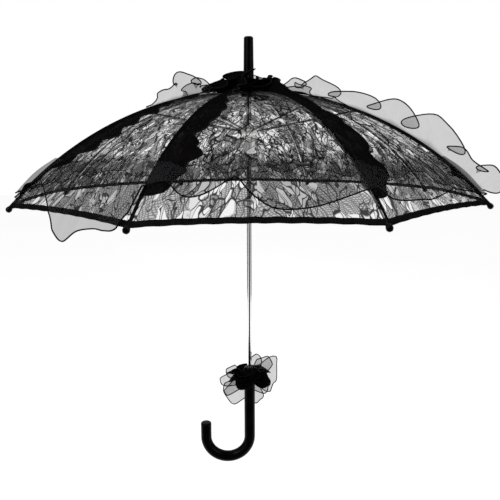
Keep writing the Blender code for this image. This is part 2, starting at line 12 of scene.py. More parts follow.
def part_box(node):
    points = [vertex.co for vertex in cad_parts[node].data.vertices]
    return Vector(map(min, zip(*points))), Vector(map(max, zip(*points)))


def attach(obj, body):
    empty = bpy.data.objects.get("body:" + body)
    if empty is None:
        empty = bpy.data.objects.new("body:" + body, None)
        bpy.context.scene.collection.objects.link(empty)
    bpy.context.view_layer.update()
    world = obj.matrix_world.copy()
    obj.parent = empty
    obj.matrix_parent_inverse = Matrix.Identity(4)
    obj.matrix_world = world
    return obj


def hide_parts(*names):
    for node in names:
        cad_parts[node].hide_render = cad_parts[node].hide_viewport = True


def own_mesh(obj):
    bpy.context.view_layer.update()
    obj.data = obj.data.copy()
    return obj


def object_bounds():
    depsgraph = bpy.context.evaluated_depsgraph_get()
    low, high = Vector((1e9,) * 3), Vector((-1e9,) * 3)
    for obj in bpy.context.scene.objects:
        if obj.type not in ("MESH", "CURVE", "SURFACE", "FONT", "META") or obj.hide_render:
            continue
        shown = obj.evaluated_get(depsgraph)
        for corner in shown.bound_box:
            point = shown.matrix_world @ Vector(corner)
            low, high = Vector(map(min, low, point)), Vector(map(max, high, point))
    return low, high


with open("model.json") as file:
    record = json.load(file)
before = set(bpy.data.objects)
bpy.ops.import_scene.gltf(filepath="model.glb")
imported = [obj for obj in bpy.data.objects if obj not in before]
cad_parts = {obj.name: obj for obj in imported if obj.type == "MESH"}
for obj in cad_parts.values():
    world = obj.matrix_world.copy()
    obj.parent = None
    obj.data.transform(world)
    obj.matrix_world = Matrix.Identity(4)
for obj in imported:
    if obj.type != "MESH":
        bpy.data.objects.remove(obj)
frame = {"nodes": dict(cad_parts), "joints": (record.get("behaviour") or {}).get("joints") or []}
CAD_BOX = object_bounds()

NODES = frame["nodes"]
JOINTS = {joint["name"]: joint for joint in frame["joints"]}
MM = 0.001

# --- the dome, from the ribs' hinges and the stretchers' pivots ------------------------
RIB_COUNT = 8
SECTOR = 2 * math.pi / RIB_COUNT
HALF = SECTOR / 2


def radius_and_height(point):
    return math.hypot(point[0], point[1]), point[2]


HINGE_R, HINGE_Z = radius_and_height(JOINTS["rib_1_fold"]["pos_m"])
PIVOT_R, PIVOT_Z = radius_and_height(JOINTS["stretcher_1_fold"]["pos_m"])
DOME_Z = (HINGE_R**2 + HINGE_Z**2 - PIVOT_R**2 - PIVOT_Z**2) / (2 * (HINGE_Z - PIVOT_Z))
DOME_RADIUS = math.hypot(HINGE_R, HINGE_Z - DOME_Z)
TIP_R = 0.355
CANOPY_LIFT = 1.9 * MM  # of the lace over the ribs' middle line
CANOPY_INNER = 15 * MM
HEM_R = 0.354
HEM_RISE = 4.5 * MM
HEM_WIDTH = 9 * MM


def azimuth(number):
    x, y, _ = JOINTS[f"rib_{number}_fold"]["pos_m"]
    return math.atan2(y, x)


def dome_height(radius, lift=0.0):
    return DOME_Z + math.sqrt((DOME_RADIUS + lift) ** 2 - radius**2)


def dome_angle(radius):
    return math.asin(radius / DOME_RADIUS)


def panel_width(radius):
    """From a rib to the middle of a panel, across the cloth."""
    return radius * math.cos(HALF) * math.sin(HALF)


def on_panel(number, radius, side, lift):
    """A point over sector number: side is metres across from its rib, lift metres off the dome."""
    width = panel_width(radius)
    reach = radius - abs(side) * math.tan(HALF)
    turn = azimuth(number)
    out = Vector((math.cos(turn), math.sin(turn), 0))
    across = Vector((-math.sin(turn), math.cos(turn), 0))
    # beyond the middle of the panel the cloth goes on in the next sector
    over = max(0.0, abs(side) - width)
    reach -= over * (math.tan(2 * HALF) - math.tan(HALF)) if over else 0.0
    slope = radius / DOME_RADIUS
    rise = math.sqrt(max(0.0, 1 - slope**2))
    height = DOME_Z + DOME_RADIUS * rise
    widen = 1 + lift * slope / max(reach, 0.01)
    return out * (reach + lift * slope) + across * side * widen + Vector((0, 0, height + lift * rise))


# --- materials ---------------------------------------------------------------------------
def new_material(name):
    material = bpy.data.materials.new(name)
    material.use_nodes = True
    tree = material.node_tree
    shader = tree.nodes["Principled BSDF"]
    return material, tree, shader


def node(tree, kind, **values):
    made = tree.nodes.new(kind)
    for key, value in values.items():
        setattr(made, key, value)
    return made


def math_node(tree, operation, first, second=None, third=None, clamp=False):
    made = node(tree, "ShaderNodeMath", operation=operation, use_clamp=clamp)
    for slot_number, value in enumerate((first, second, third)):
        if value is None:
            continue
        if isinstance(value, (int, float)):
            made.inputs[slot_number].default_value = value
        else:
            tree.links.new(value, made.inputs[slot_number])
    return made.outputs[0]


def noise_node(tree, vector, scale, detail=2.0, roughness=0.5):
    made = node(tree, "ShaderNodeTexNoise")
    made.inputs["Scale"].default_value = scale
    made.inputs["Detail"].default_value = detail
    made.inputs["Roughness"].default_value = roughness
    if vector is not None:
        tree.links.new(vector, made.inputs["Vector"])
    return made


def ramp_node(tree, value, stops):
    made = node(tree, "ShaderNodeValToRGB")
    ramp = made.color_ramp
    while len(ramp.elements) < len(stops):
        ramp.elements.new(0.5)
    for element, (place, colour) in zip(ramp.elements, stops):
        element.position = place
        element.color = (*colour, 1.0) if hasattr(colour, "__len__") else (colour,) * 3 + (1.0,)
    tree.links.new(value, made.inputs["Fac"])
    return made.outputs["Color"]


def bump(tree, shader, height, strength, distance):
    made = node(tree, "ShaderNodeBump")
    made.inputs["Strength"].default_value = strength
    made.inputs["Distance"].default_value = distance
    tree.links.new(height, made.inputs["Height"])
    tree.links.new(made.outputs["Normal"], shader.inputs["Normal"])


def smooth_step(tree, value, low, high):
    made = node(tree, "ShaderNodeMapRange", interpolation_type="SMOOTHSTEP")
    made.inputs["From Min"].default_value = low
    made.inputs["From Max"].default_value = high
    tree.links.new(value, made.inputs["Value"])
    return made.outputs["Result"]


def gloss_black():
    material, tree, shader = new_material("gloss_black_plastic")
    place = node(tree, "ShaderNodeTexCoord").outputs["Object"]
    cloud = noise_node(tree, place, 60.0, 3.0)
    stops = [(0.3, (0.0006, 0.0006, 0.0007)), (0.8, (0.0016, 0.0016, 0.0018))]
    colour = ramp_node(tree, cloud.outputs["Fac"], stops)
    tree.links.new(colour, shader.inputs["Base Color"])
    haze = smooth_step(tree, cloud.outputs["Fac"], 0.2, 0.9)
    rough = math_node(tree, "MULTIPLY_ADD", haze, 0.14, 0.16)
    tree.links.new(rough, shader.inputs["Roughness"])
    ripple = noise_node(tree, place, 260.0, 2.0)
    bump(tree, shader, ripple.outputs["Fac"], 0.12, 0.0004)
    shader.inputs["Specular IOR Level"].default_value = 0.045
    return material


def white_plastic():
    material, tree, shader = new_material("white_plastic")
    place = node(tree, "ShaderNodeTexCoord").outputs["Object"]
    cloud = noise_node(tree, place, 90.0, 3.0)
    colour = ramp_node(tree, cloud.outputs["Fac"], [(0.3, (0.80, 0.80, 0.79)), (0.8, (0.88, 0.88, 0.87))])
    tree.links.new(colour, shader.inputs["Base Color"])
    bump(tree, shader, noise_node(tree, place, 400.0).outputs["Fac"], 0.1, 0.0003)
    shader.inputs["Roughness"].default_value = 0.38
    return material


def metal(name, dark, light, roughness, along=(1.0, 1.0, 0.04), grain=900.0):
    """Metal with fine drawn lines along the piece and slight staining."""
    material, tree, shader = new_material(name)
    place = node(tree, "ShaderNodeTexCoord").outputs["Object"]
    stretch = node(tree, "ShaderNodeMapping")
    stretch.inputs["Scale"].default_value = along
    tree.links.new(place, stretch.inputs["Vector"])
    lines = noise_node(tree, stretch.outputs["Vector"], grain, 2.0)
    stain = noise_node(tree, place, 35.0, 4.0)
    colour = ramp_node(tree, stain.outputs["Fac"], [(0.25, dark), (0.75, light)])
    tree.links.new(colour, shader.inputs["Base Color"])
    rough = math_node(tree, "MULTIPLY_ADD", stain.outputs["Fac"], 0.12, roughness)
    tree.links.new(rough, shader.inputs["Roughness"])
    bump(tree, shader, lines.outputs["Fac"], 0.08, 0.0002)
    shader.inputs["Metallic"].default_value = 1.0
    return material


def weave_height(tree, vector, scale):
    """Height of a plain weave: two sets of threads, each a wave."""
    split = node(tree, "ShaderNodeSeparateXYZ")
    tree.links.new(vector, split.inputs["Vector"])
    waves = []
    for axis in ("X", "Y"):
        turn = math_node(tree, "MULTIPLY", split.outputs[axis], scale * math.pi)
        waves.append(math_node(tree, "ABSOLUTE", math_node(tree, "SINE", turn)))
    return math_node(tree, "MAXIMUM", waves[0], waves[1])


def binding_cloth(name, colour=(0.0016, 0.0016, 0.0018)):
    """Dense black ribbon, as on the hem, the seams and the ties."""
    material, tree, shader = new_material(name)
    place = node(tree, "ShaderNodeUVMap").outputs["UV"]
    tone = noise_node(tree, place, 220.0, 3.0)
    light = tuple(3.2 * c for c in colour)
    shade = ramp_node(tree, tone.outputs["Fac"], [(0.3, colour), (0.8, light)])
    tree.links.new(shade, shader.inputs["Base Color"])
    bump(tree, shader, weave_height(tree, place, 1400.0), 0.35, 0.0002)
    shader.inputs["Roughness"].default_value = 0.5
    shader.inputs["Specular IOR Level"].default_value = 0.01
    return material


def organza(name, base_alpha, colour=(0.022, 0.022, 0.024), gathered=0.006, gloss=0.08):
    """Sheer organza: a fine weave with slubs, thicker and thinner in soft clouds."""
    material, tree, shader = new_material(name)
    place = node(tree, "ShaderNodeUVMap").outputs["UV"]
    cloud = noise_node(tree, place, 26.0, 3.0)
    slub_map = node(tree, "ShaderNodeMapping")
    slub_map.inputs["Scale"].default_value = (1.0, 0.06, 1.0)
    tree.links.new(place, slub_map.inputs["Vector"])
    slub = noise_node(tree, slub_map.outputs["Vector"], 900.0, 1.0)
    shade = ramp_node(tree, cloud.outputs["Fac"], [(0.3, colour), (0.75, tuple(1.8 * c for c in colour))])
    tree.links.new(shade, shader.inputs["Base Color"])
    weave = weave_height(tree, place, 1100.0)
    threads = math_node(tree, "MULTIPLY_ADD", weave, 0.10, base_alpha - 0.10)
    clouded = math_node(tree, "MULTIPLY_ADD", cloud.outputs["Fac"], 0.14, threads)
    thin = math_node(tree, "MULTIPLY_ADD", slub.outputs["Fac"], 0.08, clouded, clamp=True)
    # gathered tight at the stitching, and open further out
    split = node(tree, "ShaderNodeSeparateXYZ")
    tree.links.new(place, split.inputs["Vector"])
    tight = math_node(tree, "SUBTRACT", 1.0, smooth_step(tree, split.outputs["Y"], -0.004, gathered))
    room = math_node(tree, "SUBTRACT", 0.99, thin)
    alpha = math_node(tree, "MULTIPLY_ADD", tight, room, thin, clamp=True)
    tree.links.new(alpha, shader.inputs["Alpha"])
    bump(tree, shader, weave, 0.25, 0.0002)
    shader.inputs["Roughness"].default_value = 0.42
    shader.inputs["Specular IOR Level"].default_value = gloss
    return material


LEAVES_PER_METRE = 118.0


def stretched(tree, vector, scale, turn=0.0, shift=(0.0, 0.0, 0.0)):
    made = node(tree, "ShaderNodeMapping")
    made.inputs["Scale"].default_value = scale
    made.inputs["Rotation"].default_value = (0, 0, turn)
    made.inputs["Location"].default_value = shift
    tree.links.new(vector, made.inputs["Vector"])
    return made.outputs["Vector"]


def net_threads(tree, vector, scale):
    """1 on the threads of a net and 0 in its holes."""
    split = node(tree, "ShaderNodeSeparateXYZ")
    tree.links.new(vector, split.inputs["Vector"])
    waves = []
    for axis in ("X", "Y"):
        turn = math_node(tree, "MULTIPLY", split.outputs[axis], scale * math.pi)
        waves.append(math_node(tree, "ABSOLUTE", math_node(tree, "COSINE", turn)))
    return math_node(tree, "MAXIMUM", waves[0], waves[1])


def lace():
    """Black net lace: long leaves and petals outlined in thread, open, netted or filled."""
    material, tree, shader = new_material("black_lace")
    place = node(tree, "ShaderNodeUVMap").outputs["UV"]
    links = tree.links

    # the drawing is closer round the crown, and darker there as painted shade under the rosette; it is closer
    # also in the border by the hem
    split = node(tree, "ShaderNodeSeparateXYZ")
    links.new(place, split.inputs["Vector"])
    crown = math_node(tree, "SUBTRACT", 1.0, smooth_step(tree, split.outputs["Y"], 0.11, 0.19))
    zone = math_node(tree, "MAXIMUM", crown, smooth_step(tree, split.outputs["Y"], 0.30, 0.35))

    # bend the cloth's own coordinates, so that the drawing flows
    bend = noise_node(tree, stretched(tree, place, (1.0, 0.5, 1.0)), 42.0, 2.0)
    shift = node(tree, "ShaderNodeVectorMath", operation="MULTIPLY_ADD")
    links.new(bend.outputs["Color"], shift.inputs[0])
    shift.inputs[1].default_value = (0.022, 0.022, 0.0)
    links.new(place, shift.inputs[2])
    bent = shift.outputs["Vector"]

    # sprigs: bands that wander down the cloth, outlined on both sides
    sprig = noise_node(tree, stretched(tree, bent, (1.0, 0.34, 1.0)), 84.0, 0.6).outputs["Fac"]
    lines = []
    for level, thin in ((0.455, 0.016), (0.565, 0.014)):
        off = math_node(tree, "ABSOLUTE", math_node(tree, "SUBTRACT", sprig, level))
        lines.append(math_node(tree, "SUBTRACT", 1.0, smooth_step(tree, off, thin * 0.5, thin * 1.6)))
    band = math_node(tree, "MULTIPLY", smooth_step(tree, sprig, 0.450, 0.460),
                     math_node(tree, "SUBTRACT", 1.0, smooth_step(tree, sprig, 0.550, 0.560)))

    # leaves and petals: long cells with a thin outline, some of them hatched
    leaf_place = stretched(tree, bent, (1.0, 0.34, 1.0), shift=(3.0, 3.0, 0.0))
    border = node(tree, "ShaderNodeTexVoronoi", feature="DISTANCE_TO_EDGE")
    border.inputs["Scale"].default_value = LEAVES_PER_METRE
    links.new(leaf_place, border.inputs["Vector"])
    cell = node(tree, "ShaderNodeTexVoronoi", feature="F1")
    cell.inputs["Scale"].default_value = LEAVES_PER_METRE
    links.new(leaf_place, cell.inputs["Vector"])
    tint = node(tree, "ShaderNodeSeparateColor")
    links.new(cell.outputs["Color"], tint.inputs["Color"])
    outline = math_node(tree, "SUBTRACT", 1.0, smooth_step(tree, border.outputs["Distance"], 0.04, 0.10))
    drawn = math_node(tree, "GREATER_THAN", tint.outputs[0], 0.52)
    lines.append(math_node(tree, "MULTIPLY", outline, drawn))
    line = lines[0]
    for more in lines[1:]:
        line = math_node(tree, "MAXIMUM", line, more)

    # fine net everywhere, closer inside the sprigs
    net_place = stretched(tree, bent, (1.0, 1.0, 1.0), turn=math.radians(45))
    net = smooth_step(tree, net_threads(tree, net_place, 520.0), 0.82, 0.96)
    ground = math_node(tree, "MULTIPLY_ADD", net, 0.11, 0.02)
    ground = math_node(tree, "MULTIPLY_ADD", band, 0.14, ground)
    # more net round the crown: painted shade under the rosette
    ground = math_node(tree, "MULTIPLY_ADD", crown, 0.28, ground)
    hatch_place = stretched(tree, bent, (1.0, 1.0, 1.0), turn=math.radians(20))
    hatch = smooth_step(tree, net_threads(tree, hatch_place, 330.0), 0.70, 0.92)
    hatched = math_node(tree, "MULTIPLY_ADD", hatch, 0.34, 0.42)
    chosen = math_node(tree, "MULTIPLY_ADD", zone, 0.36, tint.outputs[1])
    filled = math_node(tree, "MULTIPLY", hatched, smooth_step(tree, chosen, 0.70, 0.74))
    cloud = noise_node(tree, stretched(tree, bent, (1.0, 0.6, 1.0)), 38.0, 2.0)
    # heavier fill round the crown: painted shade under the rosette
    thick = math_node(tree, "MULTIPLY_ADD", crown, 0.17, cloud.outputs["Fac"])
    heavy = math_node(tree, "MULTIPLY", hatched, smooth_step(tree, thick, 0.60, 0.66))
    grain = noise_node(tree, place, 700.0, 1.0)
    fill = math_node(tree, "MAXIMUM", filled, heavy)
    fill = math_node(tree, "MULTIPLY_ADD", math_node(tree, "SUBTRACT", grain.outputs["Fac"], 0.5), 0.16, fill)
    alpha = math_node(tree, "MAXIMUM", ground, fill)
    alpha = math_node(tree, "MAXIMUM", alpha, math_node(tree, "MULTIPLY", line, 0.95), clamp=True)
    links.new(alpha, shader.inputs["Alpha"])

    colour = ramp_node(tree, line, [(0.2, (0.004, 0.004, 0.0044)), (0.9, (0.002, 0.002, 0.0022))])
    links.new(colour, shader.inputs["Base Color"])
    bump(tree, shader, alpha, 0.5, 0.0004)
    shader.inputs["Roughness"].default_value = 0.6
    shader.inputs["Specular IOR Level"].default_value = 0.01
    return material


# --- building cloth ------------------------------------------------------------------------
def add_piece(name, mesh, material, body):
    piece = bpy.data.objects.new(name, mesh)
    bpy.context.scene.collection.objects.link(piece)
    mesh.materials.append(material)
    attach(piece, body)
    return piece


def grid_mesh(name, columns, rows, place, cloth_point=None):
    """A sheet of columns x rows faces; place(u, v) is each point, cloth_point(u, v) its UV in metres."""
    mesh = bpy.data.meshes.new(name)
    points, faces = [], []
    for j in range(rows + 1):
        for i in range(columns + 1):
            points.append(place(i / columns, j / rows))
    wide = columns + 1
    for j in range(rows):
        for i in range(columns):
            first = j * wide + i
            faces.append((first, first + 1, first + 1 + wide, first + wide))
    mesh.from_pydata(points, [], faces)
    layer = mesh.uv_layers.new(name="UVMap")
    lengths = None if cloth_point else unrolled(points, columns, rows)
    for loop in mesh.loops:
        i, j = loop.vertex_index % wide, loop.vertex_index // wide
        layer.data[loop.index].uv = cloth_point(i / columns, j / rows) if cloth_point else lengths[j][i]
    mesh.shade_smooth()
    mesh.update()
    return mesh


def unrolled(points, columns, rows):
    """Flat places of a sheet's points: lengths along its first row, and down each column."""
    wide = columns + 1
    along = [0.0]
    half = rows // 2
    for i in range(columns):
        step = points[half * wide + i + 1] - points[half * wide + i]
        along.append(along[-1] + step.length)
    down = [0.0]
    for j in range(rows):
        down.append(down[-1] + (points[(j + 1) * wide] - points[j * wide]).length)
    return [[(along[i], down[j]) for i in range(wide)] for j in range(rows + 1)]


def tube_mesh(name, path, radius, sides=6):
    """A thin round cord along a path, with closed ends."""
    mesh = bpy.data.meshes.new(name)
    bm = bmesh.new()
    count = len(path)
    rings = []
    normal = Vector((0, 0, 1))
    for i, point in enumerate(path):
        before = path[max(i - 1, 0)]
        after = path[min(i + 1, count - 1)]
        tangent = (after - before).normalized()
        normal = (normal - tangent * normal.dot(tangent))
        if normal.length < 1e-4:
            normal = tangent.orthogonal()
        normal.normalize()
        other = tangent.cross(normal)
        ring = []
        for k in range(sides):
            turn = 2 * math.pi * k / sides
            ring.append(bm.verts.new(point + (normal * math.cos(turn) + other * math.sin(turn)) * radius))
        rings.append(ring)
    for first, second in zip(rings, rings[1:]):
        for k in range(sides):
            n = (k + 1) % sides
            bm.faces.new((first[k], first[n], second[n], second[k]))
    bm.faces.new(rings[0][::-1])
    bm.faces.new(rings[-1])
    bmesh.ops.recalc_face_normals(bm, faces=bm.faces)
    bm.to_mesh(mesh)
    bm.free()
    layer = mesh.uv_layers.new(name="UVMap")
    for loop in mesh.loops:
        corner = mesh.vertices[loop.vertex_index].co
        layer.data[loop.index].uv = (corner.x + corner.y, corner.z)
    mesh.shade_smooth()
    return mesh


def fold_with_rib(piece, number):
    """Gives the piece a mesh of its own."""
    turn = azimuth(number)
    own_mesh(piece)


# --- canopy --------------------------------------------------------------------------------
def gore_point(number, across, down):
    """across is -1 to 1 over the sector, down is 0 at the crown and 1 at the hem."""
    inward = abs(across) * (2 - abs(across))
    start, full = dome_angle(CANOPY_INNER), dome_angle(HEM_R)
    angle = start + (full - HEM_RISE * inward / DOME_RADIUS - start) * down
    radius = DOME_RADIUS * math.sin(angle)
    side = across * panel_width(radius)
    # the net puckers a little beside the seams, and hangs slightly slack between them
    near = math.exp(-abs(across) * 9)
    pucker = 0.5 * MM * near * math.sin(angle * DOME_RADIUS / (5 * MM)) * down
    slack = -1.6 * MM * inward * math.sin(math.pi * min(1.0, down))
    slack += 0.6 * MM * math.sin(across * 31 + down * 9) * down
    return on_panel(number, radius, side, CANOPY_LIFT + pucker + slack)


def gore_cloth(number, across, down):
    angle = dome_angle(CANOPY_INNER) + (dome_angle(HEM_R) - dome_angle(CANOPY_INNER)) * down
    radius = DOME_RADIUS * math.sin(angle)
    return (0.8 * number + across * panel_width(radius), DOME_RADIUS * angle)


def build_canopy():
    cloth = lace()
    ribbon = binding_cloth("hem_ribbon")
    for number in range(1, RIB_COUNT + 1):
        mesh = grid_mesh(
            f"lace_gore_{number}",
            40,
            64,
            lambda u, v: gore_point(number, 2 * u - 1, v),
            lambda u, v: gore_cloth(number, 2 * u - 1, v),
        )
        gore = add_piece(f"lace_gore_{number}", mesh, cloth, f"rib_{number}")
        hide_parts(f"canopy_gore_{number}")
        trims = [hem_of(number, ribbon), seam_of(number, ribbon)]
        fold_with_rib(gore, number)
        for trim in trims:
            fold_with_rib(trim, number)


def hem_of(number, ribbon):
    """The folded ribbon that binds the edge, on both faces of the lace."""
    share = HEM_WIDTH / (DOME_RADIUS * dome_angle(HEM_R))
    thick = 0.7 * MM

    def place(u, v):
        turn = 2 * math.pi * v
        down = 1 - share / 2 - share / 2 * math.cos(turn)
        point = gore_point(number, 2 * u - 1, min(down, 1.004))
        return point + Vector((0, 0, thick * math.sin(turn)))

    mesh = grid_mesh(f"hem_{number}", 40, 12, place)
    piece = add_piece(f"hem_{number}", mesh, ribbon, f"rib_{number}")
    return piece


# which side of its rib each seam's tape lies, beside the rib that shows through the lace
TAPE_SIDES = {1: 1, 2: -1, 3: -1, 4: 1, 5: -1, 6: 1, 7: 1, 8: 1}


def seam_of(number, ribbon):
    """The sewn seam over the rib, a narrow tape with puckered edges."""
    width = 3.6 * MM

    def place(u, v):
        angle = dome_angle(CANOPY_INNER) + (dome_angle(HEM_R) - dome_angle(CANOPY_INNER)) * v
        radius = DOME_RADIUS * math.sin(angle)
        side = (u - 0.5) * width * (1 + 0.12 * math.sin(v * 190)) + TAPE_SIDES[number] * 1.9 * MM
        return on_panel(number, radius, side, CANOPY_LIFT + 0.7 * MM - 0.5 * MM * abs(2 * u - 1) ** 3)

    mesh = grid_mesh(f"seam_{number}", 6, 90, place)
    piece = add_piece(f"seam_{number}", mesh, ribbon, f"rib_{number}")
    return piece


# --- ruffles along the ribs ----------------------------------------------------------------
# Each flounce has its rib, its cloth, and its lobes from the crown outwards: place along the
# rib, height and curl in mm, and lean in degrees from upright (towards the next rib if positive).
FLOUNCES = {
    "seam_ruffle_1": (1, "dense", [
        (60, 26, 10, 52), (84, 26, 12, 64), (108, 26, 12, 70), (134, 25, 12, 74),
        (162, 24, 13, 76), (192, 26, 13, 76), (222, 30, 14, 74), (248, 34, 15, 72),
        (270, 40, 15, 74), (290, 42, 13, 76), (308, 40, 11, 78), (326, 30, 8, 80),
    ]),
    "seam_ruffle_2": (2, "sheer", [
        (73, 21, 11, 12), (106, 28, 16, -6), (168, 23, 22, 6), (216, 31, 18, 0),
        (268, 38, 28, 2), (312, 30, 15, -24), (336, 36, 13, -12),
    ]),
    "seam_ruffle_2_low": (2, "dense", [
        (60, 30, 10, -66), (84, 32, 12, -76), (110, 32, 13, -80), (138, 30, 13, -82),
        (168, 26, 13, -84), (198, 22, 13, -84), (230, 20, 13, -84), (262, 24, 13, -82),
        (292, 36, 13, -80), (318, 44, 12, -76), (338, 34, 8, -70),
    ]),
    "seam_ruffle_3": (3, "sheer", [
        (66, 24, 12, 40), (96, 28, 14, 30), (134, 26, 16, 50), (172, 28, 15, 34),
        (214, 30, 17, 60), (256, 32, 15, 44), (300, 32, 14, 62), (330, 22, 9, 70),
    ]),
    "seam_ruffle_4": (4, "sheer", [
        (64, 28, 12, -20), (96, 30, 14, -50), (136, 30, 16, -66), (178, 32, 15, -60),
        (222, 34, 17, -72), (264, 36, 15, -64), (306, 32, 14, -74), (332, 22, 9, -78),
    ]),
    "seam_ruffle_5": (5, "sheer", [
        (64, 28, 12, 24), (98, 30, 14, 46), (140, 32, 16, 64), (184, 34, 15, 58),
        (228, 38, 17, 70), (272, 36, 15, 62), (310, 32, 12, 74), (334, 22, 9, 78),
    ]),
    "seam_ruffle_6": (6, "sheer", [
        (66, 26, 12, -34), (94, 28, 14, -16), (132, 26, 16, -60), (172, 30, 15, -66),
        (214, 30, 17, -72), (256, 30, 15, -70), (298, 30, 14, -74), (328, 22, 9, -76),
    ]),
    "seam_ruffle_7": (7, "sheer", [
        (76, 22, 10, -16), (99, 34, 13, -2), (128, 26, 19, -44), (156, 18, 13, -72),
    ]),
    "seam_ruffle_7_low": (7, "dense", [
        (60, 36, 10, 60), (84, 42, 12, 74), (110, 48, 13, 80), (138, 54, 14, 82),
        (166, 60, 14, 83), (194, 66, 15, 83), (222, 70, 16, 83), (250, 72, 16, 82),
        (276, 66, 15, 80), (300, 56, 13, 76), (322, 44, 11, 70), (340, 30, 8, 62),
    ]),
    "seam_ruffle_8": (8, "dense", [
        (60, 32, 10, 40), (84, 34, 12, 60), (108, 32, 12, 68), (134, 29, 13, 72),
        (160, 28, 13, 76), (186, 28, 14, 78), (212, 30, 14, 78), (238, 33, 14, 78),
        (262, 40, 14, 78), (284, 46, 12, 76), (304, 42, 10, 76), (322, 30, 8, 80),
    ]),
}
STEPS_PER_LOBE = 26
SEAM_ROWS = 10


def between(values, place):
    """A value from a list, place 0.5 being its first item, smoothly joined."""
    spot = min(max(place - 0.5, 0.0), len(values) - 1.0)
    first = min(int(spot), len(values) - 2)
    part = spot - first
    return values[first] + (values[first + 1] - values[first]) * (3 - 2 * part) * part**2


def flounce_point(name, u, s):
    """u counts the lobes from the crown, s runs from the stitching to the free edge."""
    number, _, lobes = FLOUNCES[name]
    centres = [lobe[0] * MM for lobe in lobes]
    middle = between(centres, u)
    middle += (min(u, 0.5) - 0.5) * 24 * MM + max(0.0, u - len(lobes) + 0.5) * 8 * MM
    height = between([lobe[1] * MM for lobe in lobes], u)
    curl = between([lobe[2] * MM for lobe in lobes], u)
    lean = math.radians(between([lobe[3] for lobe in lobes], u))
    ends = min(1.0, 0.3 + 1.6 * u) * min(1.0, 0.35 + 1.6 * (len(lobes) - u))
    height *= ends
    turn = 2 * math.pi * u
    flat = abs(math.sin(lean))
    dip = 0.72 - 0.66 * flat
    up = height * (1 - dip * ((1 + math.cos(turn)) / 2) ** 1.6)
    fold = (0.62 - 0.54 * flat) * height * (1 + math.cos(turn)) / 2
    toward = -1 if lean >= 0 else 1
    wobble = noise.noise(Vector((u * 1.7, number * 3.1, 0.5)))
    # the edge swings back on itself at the foot of each lobe
    slide = -curl * (math.sin(turn) + (0.20 - 0.16 * flat) * math.sin(2 * turn + 0.9))
    slide = slide * (1 - 0.85 * flat) + (5 - 4 * flat) * MM * wobble
    drift = noise.noise(Vector((u * 0.6, number * 5.7, 2.5)))
    swell = 0.10 * (1 - flat) * math.sin(2 * turn + number + 3 * wobble)
    up *= 1 + swell + flat * (0.10 * wobble + 0.60 * drift)
    rise = s**0.92
    out = slide * rise**1.25
    beside = toward * fold * rise**1.2 + 2.2 * MM * math.sin(math.pi * s) * math.sin(turn + 1.1)
    beside += 0.8 * MM * math.sin(turn * 5 + number) * math.exp(-3.5 * s) * min(1.0, 8 * s)
    high = up * rise + 0.10 * height * math.sin(math.pi * s)
    side = beside * math.cos(lean) + high * math.sin(lean)
    lift = (high * math.cos(lean) - beside * math.sin(lean)) * (1 - 0.5 * flat**6)
    lift = 0.5 * (lift + math.sqrt(lift**2 + (0.5 * MM) ** 2))
    return on_panel(number, middle + out, side, CANOPY_LIFT + 0.8 * MM + lift)


STRIP_UV_WIDTH = 0.035  # metres of cloth from a strip's stitching to its free edge


def strip_cloth(steps, place):
    """UVs of a gathered strip in metres: along its free edge, and up from its stitching."""
    along, last = [0.0], place(0.0, 1.0)
    for i in range(1, steps + 1):
        point = place(i / steps, 1.0)
        along.append(along[-1] + (point - last).length)
        last = point

    def cloth(u, v):
        i = round(u * steps)
        return (along[i], v * STRIP_UV_WIDTH)

    return cloth


def add_strip(name, steps, rows, place, cloth, thread, body, radius=0.9 * MM):
    """A strip of organza and the rolled edge along its free side."""
    mesh = grid_mesh(name, steps, rows, place, strip_cloth(steps, place))
    piece = add_piece(name, mesh, cloth, body)
    path = [place(i / steps, 1.0) for i in range(steps + 1)]
    edge = add_piece(f"{name}_edge", tube_mesh(f"{name}_edge", path, radius), thread, body)
    return piece, edge


def build_seam_ruffles(cloths, thread):
    for name, (number, cloth, lobes) in FLOUNCES.items():
        count = len(lobes)
        piece, edge = add_strip(
            name,
            count * STEPS_PER_LOBE,
            SEAM_ROWS,
            lambda u, v: flounce_point(name, u * count, v),
            cloths[cloth],
            thread,
            f"rib_{number}",
        )
        if name == f"seam_ruffle_{number}":
            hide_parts(f"ruffle_{number}")
        width = sum(lobe[1] for lobe in lobes) / count * MM
        fold_with_rib(piece, number)
        fold_with_rib(edge, number)


# --- the ruffle over the hem ---------------------------------------------------------------
# For the panel after each rib: places across it (0 at the rib, 1 at the next), and how far
# out the free edge comes there, as a radius in mm.
HEM_EDGES = {
    1: [(0.0, 322), (0.12, 334), (0.3, 341), (0.5, 338), (0.75, 333), (0.9, 342), (1.0, 344)],
    2: [(0.0, 344), (0.15, 352), (0.35, 338), (0.6, 344), (0.8, 330), (1.0, 326)],
    3: [(0.0, 326), (0.2, 340), (0.4, 326), (0.6, 342), (0.85, 330), (1.0, 322)],
    4: [(0.0, 322), (0.2, 338), (0.4, 322), (0.65, 340), (0.85, 324), (1.0, 322)],
    5: [(0.0, 322), (0.2, 330), (0.45, 342), (0.65, 324), (0.85, 336), (1.0, 324)],
    6: [(0.0, 324), (0.2, 340), (0.45, 330), (0.7, 346), (0.85, 338), (1.0, 340)],
    7: [(0.0, 336), (0.14, 328), (0.28, 332), (0.40, 350), (0.51, 371), (0.60, 378), (0.69, 365),
        (0.77, 361), (0.87, 362), (0.95, 358), (1.0, 342)],
    8: [(0.0, 318), (0.1, 316), (0.24, 329), (0.38, 312), (0.5, 333), (0.62, 341), (0.8, 337), (1.0, 322)],
}
HEM_RUFFLE_R = 0.288
HEM_STEPS = 64


